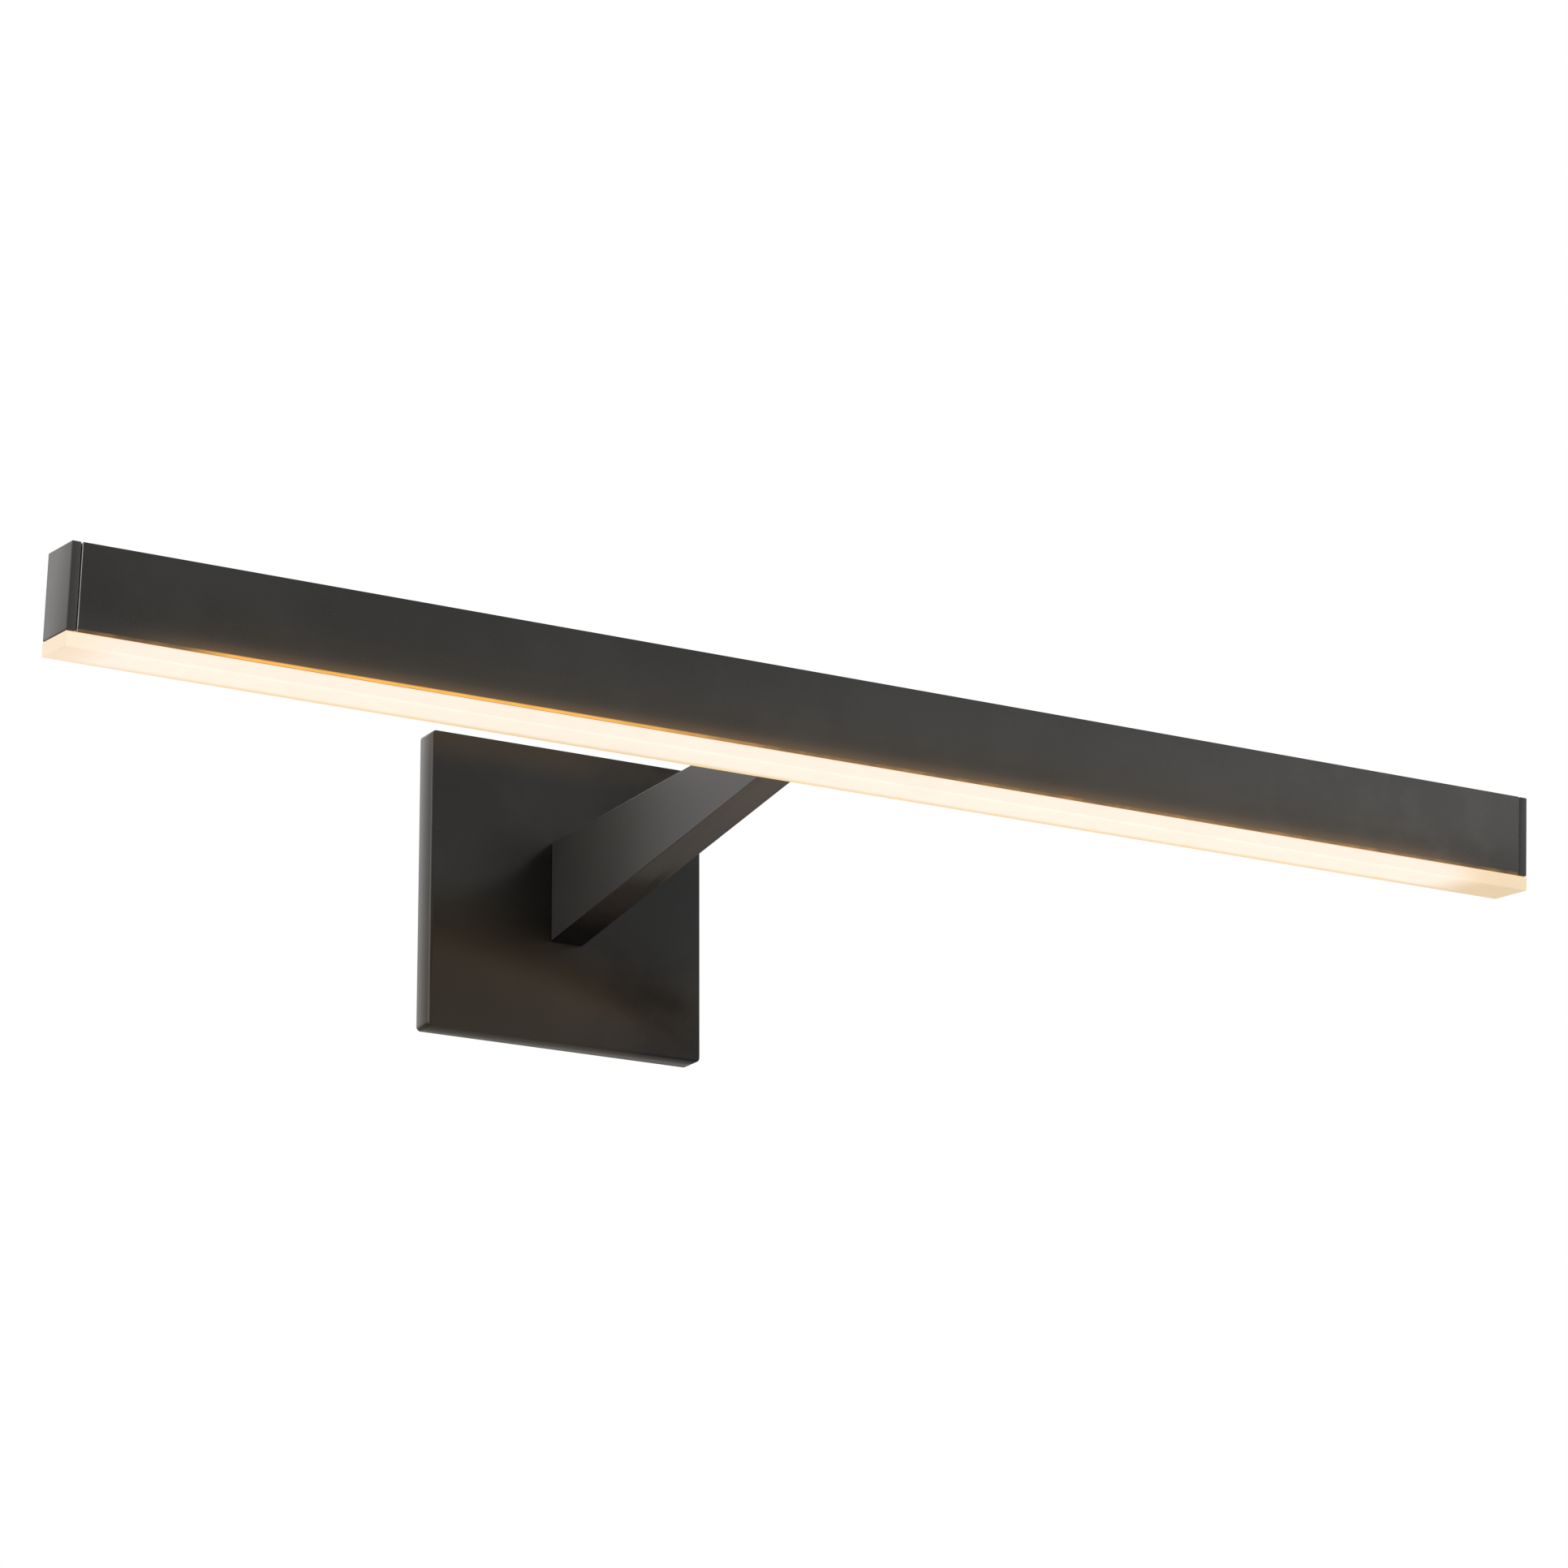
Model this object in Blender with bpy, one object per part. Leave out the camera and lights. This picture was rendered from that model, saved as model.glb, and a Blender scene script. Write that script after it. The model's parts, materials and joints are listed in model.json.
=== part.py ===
"""Vanity light bar: a tilting LED bar on a tapered arm that stands out from a square wall plate.

Metres, +Z up, +Y into the wall, +X along the bar. The origin is the centre of the plate on the wall.
The light head is modelled about its tilt axis, square to its own faces, and its parent empty
leans it by the tilt that it is set to.
"""

import math

import bmesh
import bpy
from mathutils import Vector

# Fits
GAP = 0.0003                    # between pieces that touch
WASHER_GAP = 0.0001             # on each side of a friction washer
CUT_PAST = 0.001                # how far a cutter runs past the face that it cuts
JOIN_OVERLAP = 0.001            # how far a shape that is joined on is buried

# Edge rounds
COAT_EDGE = 0.0003
PLATE_EDGE = 0.0004
CAP_EDGE = 0.0005
CONNECTOR_EDGE = 0.0006

# Wall plate, a shallow pan over the wall box
PLATE_SIDE = 0.120
PLATE_DEPTH = 0.0108
PLATE_FRONT = 0.002
PLATE_WALL = 0.0015
PLATE_CORNER = 0.0018
PLATE_INNER_CORNER = 0.001
GASKET_WIDTH = 0.004
GASKET_DEPTH = 0.0025

# Mounting bracket, a bent strap that the plate hooks on to
STRAP_WIDTH = 0.022
STRAP_THICK = 0.002
STRAP_HALF = 0.052
FLANGE_REACH = 0.0084
LIP_REACH = 0.0080
LIP_THICK = 0.0015
LIP_DROP = 0.004
SLOT_WIDTH = 0.0046
SLOT_INNER = 0.0327
SLOT_OUTER = 0.0467
CATCH_HALF_WIDTH = 0.008
CATCH_THICK = 0.0012
CATCH_LEG_Y = -0.0043
CATCH_BACK = -0.0030
CATCH_FRONT = -0.0085
SET_SCREW_X = 0.008
SET_SCREW_Y = -0.0052
SET_SCREW_LENGTH = 0.012
SET_SCREW_SHANK = 0.0018
SET_SCREW_SOCKET = 0.0010
SET_SCREW_SUNK = 0.0003         # its top below the plate's edge
SET_SCREW_THREAD = 0.0021
GROUND_SCREW_Z = 0.024
EARTH_THREAD = 0.0021
PLATE_SCREW_HOLE = 0.0023       # round the set screws and the arm's screws

# Arm, a hollow taper that ends in a fork with a round nose
ARM_WIDTH = 0.014
ARM_WALL = 0.002
ARM_TOP = 0.0210
ARM_BOTTOM = -0.0195
ARM_BASE = -(PLATE_DEPTH + GAP)
FORK_START = -0.191
NOSE_RADIUS = 0.008
BLOCK_DEPTH = 0.012
BLOCK_FLOOR_GAP = 0.0025
BLOCK_ROOF_GAP = 0.0005
ARM_SCREW_SPREAD = 0.01275      # from the cable hole to each arm screw
ARM_SCREW_THREAD = 0.0021
BLOCK_CABLE_WAY = 0.0026
PLATE_CABLE_HOLE = 0.0043
GROMMET_BORE = 0.0022
GROMMET_MOUTH = 0.0027          # the flared end of the bore
GROMMET_FLANGE = 0.0052
GROMMET_THICK = 0.0008
CABLE_Z = (ARM_TOP + ARM_BOTTOM) / 2

# Tilt hinge
PIVOT = Vector((0.0, -0.1990, 0.01525))
HEAD_TILT = math.radians(4.5)
PIVOT_SHANK = 0.0020
PIVOT_HOLE = 0.0023
LUG_OUTER = 0.0042
LUG_INNER = 0.0021
LUG_RADIUS = 0.006
WASHER_RADIUS = 0.0055
BRACKET_WIDTH = 0.030
BRACKET_HEIGHT = 0.020
BRACKET_THICK = 0.002
BRACKET_SCREW_X = 0.011
BRACKET_SCREW_Z = 0.003
BRACKET_SCREW_HOLE = 0.0018
NUT_REACH = 0.00318             # to its corners
NUT_HEIGHT = 0.0024

# Light head, measured from the tilt axis
BAR_LENGTH = 0.610
BAR_HEIGHT = 0.0312
BAR_DEPTH = 0.021
BAR_BACK = -0.01135
BAR_FRONT = BAR_BACK - BAR_DEPTH
BAR_MIDDLE = BAR_BACK - BAR_DEPTH / 2
BAR_BOTTOM = -0.01717
BAR_TOP = BAR_BOTTOM + BAR_HEIGHT
BAR_WALL = 0.0014
WEB_BOTTOM = BAR_BOTTOM + 0.010
WEB_TOP = WEB_BOTTOM + 0.0016
CAP_THICK = 0.0035
SPIGOT_LENGTH = 0.008
HOUSING_HALF = BAR_LENGTH / 2 - CAP_THICK - GAP
HOUSING_CABLE_HOLE = 0.0035
BACK_GROMMET_FLANGE = 0.0044
BACK_GROMMET_THICK = 0.0012
LEAD_HOLE = 0.003

# Diffuser
DIFFUSER_DROP = 0.0056
DIFFUSER_INSET = 0.00015
DIFFUSER_ROUND = 0.0008
NECK_HEIGHT = 0.0035

# Light source
BOARD_INNER = 0.006             # from the middle of the bar to the inner end of each board
BOARD_OUTER = 0.298
BOARD_WIDTH = 0.012
BOARD_THICK = 0.0012
LED_PITCH = 0.016
LED_COUNT = 17
LED_SIZE = (0.0028, 0.0035, 0.0007)
LED_BURY = 0.0002
BOARD_SCREW_INSET = 0.010
DRIVER_X = -0.150
DRIVER_HALF = 0.060
DRIVER_HEIGHT = 0.014
DRIVER_DEPTH = 0.014
TAB_LENGTH = 0.008
TAB_THICK = 0.001

# Cable and small hardware
CABLE_RADIUS = 0.0015
CABLE_PORT = 0.0019
WIRE_RADIUS = 0.0006
LEAD_RADIUS = 0.0010
CABLE_END_GAP = 0.0008          # from the tilt axis to each cut end of the cable
LEAD_START = 0.0006             # from the driver's end to the leads and the cable
BLOCK_BOX = ((-0.046, -0.0085, -0.00325), (-0.026, -0.0025, 0.01275))
PORT_DEPTH = 0.006
EARTH_PORT_Z = CABLE_Z + 0.008
SMALL_SCREW_HOLE = 0.0014

# Screws: head radius, head height, shank radius, socket radius
GROUND_SCREW = (0.0036, 0.0022, 0.0018, 0.0015)
ARM_SCREW = (0.0036, 0.0024, 0.0018, 0.0016)
SMALL_SCREW = (0.0022, 0.0010, 0.0011, 0.0010)
BRACKET_SCREW = (0.0028, 0.0016, 0.0015, 0.0013)
PIVOT_SCREW = (0.0036, 0.0018, PIVOT_SHANK, 0.0016)

HEAD_TO_FRONT = (math.radians(90), 0, 0)       # a screw whose head faces -Y
HEAD_TO_WALL = (math.radians(-90), 0, 0)       # a screw whose head faces +Y
HEAD_DOWN = (math.radians(180), 0, 0)
HEAD_UP = (0, 0, 0)


# --- helpers ---------------------------------------------------------------------------------

def clear_scene():
    for old in list(bpy.data.objects):
        bpy.data.objects.remove(old, do_unlink=True)


def make_material(name, colour, roughness, metallic=0.0):
    material = bpy.data.materials.new(name)
    material.use_nodes = True
    shader = material.node_tree.nodes["Principled BSDF"]
    shader.inputs["Base Color"].default_value = (*colour, 1.0)
    shader.inputs["Roughness"].default_value = roughness
    shader.inputs["Metallic"].default_value = metallic
    material.diffuse_color = (*colour, 1.0)
    return material


def place(u, v, w, axis):
    """A point from its outline coordinates u, v and its height w along the axis."""
    return {"X": (w, u, v), "Y": (u, w, v), "Z": (u, v, w)}[axis]


def add_prism(bm, outline, axis, start, end):
    """An outline extruded from start to end along an axis."""
    face = bm.faces.new([bm.verts.new(place(u, v, start, axis)) for u, v in outline])
    raised = bmesh.ops.extrude_face_region(bm, geom=[face])
    tops = [item for item in raised["geom"] if isinstance(item, bmesh.types.BMVert)]
    bmesh.ops.translate(bm, vec=Vector(place(0, 0, end - start, axis)), verts=tops)


def add_box(bm, low, high):
    corners = [(low[0], low[1]), (high[0], low[1]), (high[0], high[1]), (low[0], high[1])]
    add_prism(bm, corners, "Z", low[2], high[2])


def add_turned(bm, profile, segments, ring=False):
    """Turn (radius, height, sides) about Z. Sides is 0 on a round level and 6 on a hexagon."""
    levels = []
    for radius, height, sides in profile:
        level = []
        for index in range(segments):
            angle = 2 * math.pi * index / segments
            reach = radius
            if sides:
                side = 2 * math.pi / sides
                reach = radius * math.cos(side / 2) / math.cos(angle % side - side / 2)
            level.append(bm.verts.new((reach * math.cos(angle), reach * math.sin(angle), height)))
        levels.append(level)
    pairs = list(zip(levels, levels[1:]))
    if ring:
        pairs.append((levels[-1], levels[0]))
    else:
        bm.faces.new(levels[0])
        bm.faces.new(levels[-1])
    for lower, upper in pairs:
        for index in range(segments):
            after = (index + 1) % segments
            bm.faces.new((lower[index], lower[after], upper[after], upper[index]))


def arc(centre, radius, start, end, steps):
    """Points on an arc, its angles in degrees, to the nanometre so that level points are level."""
    points = []
    for index in range(steps + 1):
        angle = math.radians(start + (end - start) * index / steps)
        across = centre[0] + radius * math.cos(angle)
        up = centre[1] + radius * math.sin(angle)
        points.append((round(across, 9), round(up, 9)))
    return points


def circle(centre, radius, steps=16):
    return arc(centre, radius, 0, 360 - 360 / steps, steps - 1)


def rounded_square(half, radius, steps=4):
    inner = half - radius
    outline = []
    for corner, (u, v) in enumerate(((inner, inner), (-inner, inner), (-inner, -inner), (inner, -inner))):
        outline += arc((u, v), radius, 90 * corner, 90 * corner + 90, steps)
    return outline


def slot_outline(width, low, high):
    """An upright slot with round ends."""
    radius = width / 2
    return arc((0, high - radius), radius, 0, 180, 6) + arc((0, low + radius), radius, 180, 360, 6)


def mesh_of(bm, name, smooth=False):
    bmesh.ops.recalc_face_normals(bm, faces=bm.faces)
    mesh = bpy.data.meshes.new(name)
    bm.to_mesh(mesh)
    bm.free()
    if smooth:
        mesh.shade_smooth()
        mesh.set_sharp_from_angle(angle=math.radians(35))
    return mesh


def add_object(name, data, material, parent=None, location=(0, 0, 0), rotation=(0, 0, 0)):
    piece = bpy.data.objects.new(name, data)
    bpy.context.scene.collection.objects.link(piece)
    if material and not data.materials:
        data.materials.append(material)
    piece.parent = parent
    piece.location = location
    piece.rotation_euler = rotation
    return piece


def box_piece(name, low, high, material, parent=None):
    bm = bmesh.new()
    add_box(bm, low, high)
    return add_object(name, mesh_of(bm, name), material, parent)


def prism_piece(name, outline, axis, start, end, material, parent=None, smooth=False):
    bm = bmesh.new()
    add_prism(bm, outline, axis, start, end)
    return add_object(name, mesh_of(bm, name, smooth), material, parent)


def bevel(piece, width, segments=2):
    modifier = piece.modifiers.new("Bevel", "BEVEL")
    modifier.width = width
    modifier.segments = segments
    modifier.limit_method = "ANGLE"
    modifier.angle_limit = math.radians(40)


def combine(piece, operation, shape, name):
    """Cut from or join to a piece the shape in bm, drawn in the piece's own frame."""
    tool = add_object(f"{piece.name}_{name}", mesh_of(shape, name), None, parent=piece)
    tool.hide_render = True
    tool.display_type = "WIRE"
    modifier = piece.modifiers.new(name, "BOOLEAN")
    modifier.operation = operation
    modifier.object = tool


def holes(axis, places, radius, start, end, steps=16):
    """Round cutters along one axis, at each of the places on the other two."""
    bm = bmesh.new()
    for centre in places:
        add_prism(bm, circle(centre, radius, steps), axis, start, end)
    return bm


def smooth_route(points, steps):
    """Points along a smooth curve through the route's own points."""
    points = [Vector(point) for point in points]
    ends = [2 * points[0] - points[1], *points, 2 * points[-1] - points[-2]]
    route = []
    for before, start, end, after in zip(ends, ends[1:], ends[2:], ends[3:]):
        for index in range(steps):
            t = index / steps
            slope = (end - before) * t + (2 * before - 5 * start + 4 * end - after) * t * t
            bend = (3 * start - before - 3 * end + after) * t ** 3
            route.append(start + (slope + bend) / 2)
    route.append(points[-1])
    return route


def tube(name, points, radius, material, parent=None):
    curve = bpy.data.curves.new(name, "CURVE")
    curve.dimensions = "3D"
    curve.bevel_depth = radius
    curve.bevel_resolution = 2
    curve.use_fill_caps = True
    spline = curve.splines.new("POLY")
    spline.points.add(len(points) - 1)
    for vertex, point in zip(spline.points, points):
        vertex.co = (*point, 1.0)
    return add_object(name, curve, material, parent)


def screw_mesh(name, size, length, segments=12):
    """A socket-head screw, its seat at z = 0 and its shank down."""
    head_radius, head_height, shank_radius, socket = size
    tip = shank_radius * 0.4
    profile = [
        (shank_radius - tip, -length, 0),
        (shank_radius, -length + tip, 0),
        (shank_radius, 0, 0),
        (head_radius, 0, 0),
        (head_radius, head_height * 0.6, 0),
        (head_radius * 0.86, head_height, 0),
        (socket, head_height, 6),
        (socket, head_height * 0.4, 6),
    ]
    bm = bmesh.new()
    add_turned(bm, profile, segments)
    return mesh_of(bm, name, smooth=True)


def set_screw_mesh(name, radius, length, socket):
    """A headless screw, its top at z = 0, with a hexagon socket and a chamfer at each end."""
    tip = radius * 0.4
    rim = radius * 0.12
    profile = [
        (radius - tip, -length, 0),
        (radius, -length + tip, 0),
        (radius, -rim, 0),
        (radius - rim, 0, 0),
        (socket, 0, 6),
        (socket, -socket * 1.6, 6),
    ]
    bm = bmesh.new()
    add_turned(bm, profile, 12)
    return mesh_of(bm, name, smooth=True)


def tangent_point(corner, centre, radius, side):
    """Where a line from the corner touches the circle, on its upper (1) or lower (-1) side."""
    across = centre[0] - corner[0]
    up = centre[1] - corner[1]
    distance = math.hypot(across, up)
    angle = math.atan2(up, across) - side * math.asin(radius / distance)
    reach = math.sqrt(distance ** 2 - radius ** 2)
    return corner[0] + reach * math.cos(angle), corner[1] + reach * math.sin(angle)


def height_on_line(first, last, y):
    return first[1] + (last[1] - first[1]) * (y - first[0]) / (last[0] - first[0])


# --- wall side -------------------------------------------------------------------------------

def build_mounting_bracket(materials):
    outline = [
        (0, -STRAP_HALF),
        (0, STRAP_HALF),
        (-FLANGE_REACH, STRAP_HALF),
        (-FLANGE_REACH, STRAP_HALF - STRAP_THICK),
        (-STRAP_THICK, STRAP_HALF - STRAP_THICK),
        (-STRAP_THICK, -STRAP_HALF + STRAP_THICK),
        (-LIP_REACH, -STRAP_HALF + STRAP_THICK),
        (-LIP_REACH, -STRAP_HALF - LIP_DROP),
        (-LIP_REACH + LIP_THICK, -STRAP_HALF - LIP_DROP),
        (-LIP_REACH + LIP_THICK, -STRAP_HALF),
    ]
    half = STRAP_WIDTH / 2
    strap = prism_piece("mounting_bracket", outline, "X", -half, half, materials["zinc"])
    box_slots = bmesh.new()
    face = -STRAP_THICK - CUT_PAST
    for low, high in ((SLOT_INNER, SLOT_OUTER), (-SLOT_OUTER, -SLOT_INNER)):
        add_prism(box_slots, slot_outline(SLOT_WIDTH, low, high), "Y", face, CUT_PAST)
    combine(strap, "DIFFERENCE", box_slots, "box_slots")
    earth_hole = holes("Y", [(0, GROUND_SCREW_Z)], EARTH_THREAD, face, CUT_PAST)
    combine(strap, "DIFFERENCE", earth_hole, "earth_hole")
    threads = [(-SET_SCREW_X, SET_SCREW_Y), (SET_SCREW_X, SET_SCREW_Y)]
    under = STRAP_HALF - STRAP_THICK - CUT_PAST
    set_holes = holes("Z", threads, SET_SCREW_THREAD, under, STRAP_HALF + CUT_PAST)
    combine(strap, "DIFFERENCE", set_holes, "set_holes")


def build_backplate(materials):
    half = PLATE_SIDE / 2
    outline = rounded_square(half, PLATE_CORNER)
    pan = prism_piece("backplate", outline, "Y", -PLATE_DEPTH, 0, materials["black"], smooth=True)
    bevel(pan, PLATE_EDGE)
    hollow = bmesh.new()
    inside = rounded_square(half - PLATE_WALL, PLATE_INNER_CORNER, steps=2)
    add_prism(hollow, inside, "Y", -PLATE_DEPTH + PLATE_FRONT, CUT_PAST)
    combine(pan, "DIFFERENCE", hollow, "hollow")
    front = -PLATE_DEPTH - CUT_PAST
    behind = -PLATE_DEPTH + PLATE_FRONT + CUT_PAST
    cable_hole = holes("Y", [(0, CABLE_Z)], PLATE_CABLE_HOLE, front, behind)
    combine(pan, "DIFFERENCE", cable_hole, "cable_hole")
    spots = [(0, CABLE_Z + ARM_SCREW_SPREAD), (0, CABLE_Z - ARM_SCREW_SPREAD)]
    arm_holes = holes("Y", spots, PLATE_SCREW_HOLE, front, behind)
    combine(pan, "DIFFERENCE", arm_holes, "arm_holes")
    tops = [(-SET_SCREW_X, SET_SCREW_Y), (SET_SCREW_X, SET_SCREW_Y)]
    set_holes = holes("Z", tops, PLATE_SCREW_HOLE, half - PLATE_WALL - CUT_PAST, half + CUT_PAST)
    combine(pan, "DIFFERENCE", set_holes, "set_holes")


def build_plate_fittings(materials):
    half = PLATE_SIDE / 2
    inside = half - PLATE_WALL - GAP
    ring = rounded_square(inside, PLATE_INNER_CORNER, steps=2)
    gasket = prism_piece("rim_gasket", ring, "Y", -GASKET_DEPTH, 0, materials["rubber"])
    middle = bmesh.new()
    opening = rounded_square(inside - GASKET_WIDTH, PLATE_INNER_CORNER, steps=2)
    add_prism(middle, opening, "Y", -GASKET_DEPTH - CUT_PAST, CUT_PAST)
    combine(gasket, "DIFFERENCE", middle, "middle")

    foot = -half + PLATE_WALL + GAP
    leg_top = -STRAP_HALF - 2 * GAP
    catch = [
        (CATCH_BACK, foot),
        (CATCH_BACK, foot + CATCH_THICK),
        (CATCH_LEG_Y, foot + CATCH_THICK),
        (CATCH_LEG_Y, leg_top),
        (CATCH_LEG_Y - CATCH_THICK, leg_top),
        (CATCH_LEG_Y - CATCH_THICK, foot + CATCH_THICK),
        (CATCH_FRONT, foot + CATCH_THICK),
        (CATCH_FRONT, foot),
    ]
    prism_piece(
        "lower_catch", catch, "X", -CATCH_HALF_WIDTH, CATCH_HALF_WIDTH, materials["zinc"])

    set_screw = set_screw_mesh("set_screw", SET_SCREW_SHANK, SET_SCREW_LENGTH, SET_SCREW_SOCKET)
    for side, x in (("left", -SET_SCREW_X), ("right", SET_SCREW_X)):
        top = (x, SET_SCREW_Y, half - SET_SCREW_SUNK)
        add_object(f"set_screw_{side}", set_screw, materials["black_steel"], location=top)

    neck = PLATE_CABLE_HOLE - GAP
    shelf = PLATE_FRONT + GAP
    profile = [
        (GROMMET_BORE, 0, 0),
        (neck, 0, 0),
        (neck, shelf, 0),
        (GROMMET_FLANGE, shelf, 0),
        (GROMMET_FLANGE, shelf + GROMMET_THICK, 0),
        (GROMMET_MOUTH, shelf + GROMMET_THICK, 0),
        (GROMMET_BORE, shelf, 0),
    ]
    bm = bmesh.new()
    add_turned(bm, profile, 16, ring=True)
    mesh = mesh_of(bm, "cable_grommet", smooth=True)
    mouth = (0, -PLATE_DEPTH, CABLE_Z)
    add_object("cable_grommet", mesh, materials["rubber"], location=mouth, rotation=HEAD_TO_WALL)


def build_wall_wiring(materials):
    low, high = BLOCK_BOX
    block = box_piece("terminal_block", low, high, materials["connector"])
    bevel(block, CONNECTOR_EDGE)
    port_y = (low[1] + high[1]) / 2
    spots = [(port_y, CABLE_Z), (port_y, EARTH_PORT_Z)]
    ports = holes("X", spots, CABLE_PORT, high[0] - PORT_DEPTH, high[0] + CUT_PAST)
    combine(block, "DIFFERENCE", ports, "ports")

    screw = screw_mesh("ground_screw", GROUND_SCREW, 0.0034)
    head_seat = (0, -STRAP_THICK - 2 * GAP - 2 * WIRE_RADIUS, GROUND_SCREW_Z)
    add_object("ground_screw", screw, materials["brass"], location=head_seat, rotation=HEAD_TO_FRONT)

    hook_y = -STRAP_THICK - GAP - WIRE_RADIUS
    hook = [(x, hook_y, z) for x, z in arc((0, GROUND_SCREW_Z), 0.0029, -30, 180, 9)]
    lead = [
        (-0.0031, -0.0031, 0.0205),
        (-0.0068, -0.0046, 0.0142),
        (-0.0150, -0.0054, 0.0097),
        (-0.0235, port_y, EARTH_PORT_Z),
        (-0.0290, port_y, EARTH_PORT_Z),
    ]
    tube("ground_wire", smooth_route(hook + lead, 2), WIRE_RADIUS, materials["copper"])


def build_arm(materials):
    nose = (PIVOT.y, PIVOT.z)
    upper = (ARM_BASE, ARM_TOP)
    lower = (ARM_BASE, ARM_BOTTOM)
    upper_touch = tangent_point(upper, nose, NOSE_RADIUS, 1)
    lower_touch = tangent_point(lower, nose, NOSE_RADIUS, -1)
    start = math.degrees(math.atan2(upper_touch[1] - nose[1], upper_touch[0] - nose[0]))
    end = math.degrees(math.atan2(lower_touch[1] - nose[1], lower_touch[0] - nose[0])) % 360
    outline = [lower, upper, *arc(nose, NOSE_RADIUS, start, end, 14)]
    half = ARM_WIDTH / 2
    arm = prism_piece("arm", outline, "X", -half, half, materials["black"], smooth=True)
    bevel(arm, COAT_EDGE, segments=1)

    mouth = ARM_BASE + 0.003
    beyond = 0.02
    tip = nose[0] - NOSE_RADIUS - 0.002
    ceiling = height_on_line(upper, upper_touch, FORK_START) - ARM_WALL
    floor = height_on_line(lower, lower_touch, FORK_START) + ARM_WALL
    hollow_outline = [
        (mouth, height_on_line(upper, upper_touch, mouth) - ARM_WALL),
        (FORK_START, ceiling),
        (FORK_START, ceiling + beyond),
        (tip, ceiling + beyond),
        (tip, floor - beyond),
        (FORK_START, floor - beyond),
        (FORK_START, floor),
        (mouth, height_on_line(lower, lower_touch, mouth) + ARM_WALL),
    ]
    inner = half - ARM_WALL
    hollow = bmesh.new()
    add_prism(hollow, hollow_outline, "X", -inner, inner)
    combine(arm, "DIFFERENCE", hollow, "hollow")
    combine(arm, "DIFFERENCE", holes("X", [nose], PIVOT_HOLE, -0.01, 0.01), "pivot_hole")

    block = box_piece(
        "arm_base_block",
        (-inner + GAP, ARM_BASE - BLOCK_DEPTH, ARM_BOTTOM + ARM_WALL + BLOCK_FLOOR_GAP),
        (inner - GAP, ARM_BASE, ARM_TOP - ARM_WALL - BLOCK_ROOF_GAP),
        materials["aluminium"])
    past = (ARM_BASE - BLOCK_DEPTH - CUT_PAST, ARM_BASE + CUT_PAST)
    combine(block, "DIFFERENCE", holes("Y", [(0, CABLE_Z)], BLOCK_CABLE_WAY, *past), "cable_way")
    spots = [(0, CABLE_Z + ARM_SCREW_SPREAD), (0, CABLE_Z - ARM_SCREW_SPREAD)]
    combine(block, "DIFFERENCE", holes("Y", spots, ARM_SCREW_THREAD, *past), "threads")

    arm_screw = screw_mesh("arm_screw", ARM_SCREW, 0.0115)
    for name, (x, z) in zip(("upper", "lower"), spots):
        seat = (x, -PLATE_DEPTH + PLATE_FRONT + GAP, z)
        add_object(f"arm_screw_{name}", arm_screw, materials["zinc"], location=seat, rotation=HEAD_TO_WALL)

    route = [
        (-0.0290, -0.0055, CABLE_Z),
        (-0.0180, -0.0055, CABLE_Z),
        (-0.0090, -0.0053, CABLE_Z),
        (-0.0042, -0.0050, CABLE_Z),
        (-0.0014, -0.0056, CABLE_Z),
        (-0.0002, -0.0082, CABLE_Z),
        (0.0, -0.0130, CABLE_Z),
        (0.0, -0.0240, 0.0014),
        (0.0, -0.0800, 0.0060),
        (0.0, -0.1400, 0.0107),
        (0.0, -0.1800, 0.0139),
        (0.0, PIVOT.y + CABLE_END_GAP, PIVOT.z),
    ]
    tube("cable_in_arm", smooth_route(route, 3), CABLE_RADIUS, materials["cable"])

    bm = bmesh.new()
    inside = LUG_OUTER + WASHER_GAP
    outside = inner - WASHER_GAP
    profile = [
        (PIVOT_HOLE, inside, 0),
        (WASHER_RADIUS, inside, 0),
        (WASHER_RADIUS, outside, 0),
        (PIVOT_HOLE, outside, 0),
    ]
    add_turned(bm, profile, 20, ring=True)
    washer = mesh_of(bm, "friction_washer", smooth=True)
    for side, turn in (("left", -90), ("right", 90)):
        add_object(f"friction_washer_{side}", washer, materials["nylon"],
                   location=PIVOT, rotation=(0, math.radians(turn), 0))


# --- light head, about its tilt axis ---------------------------------------------------------

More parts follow.
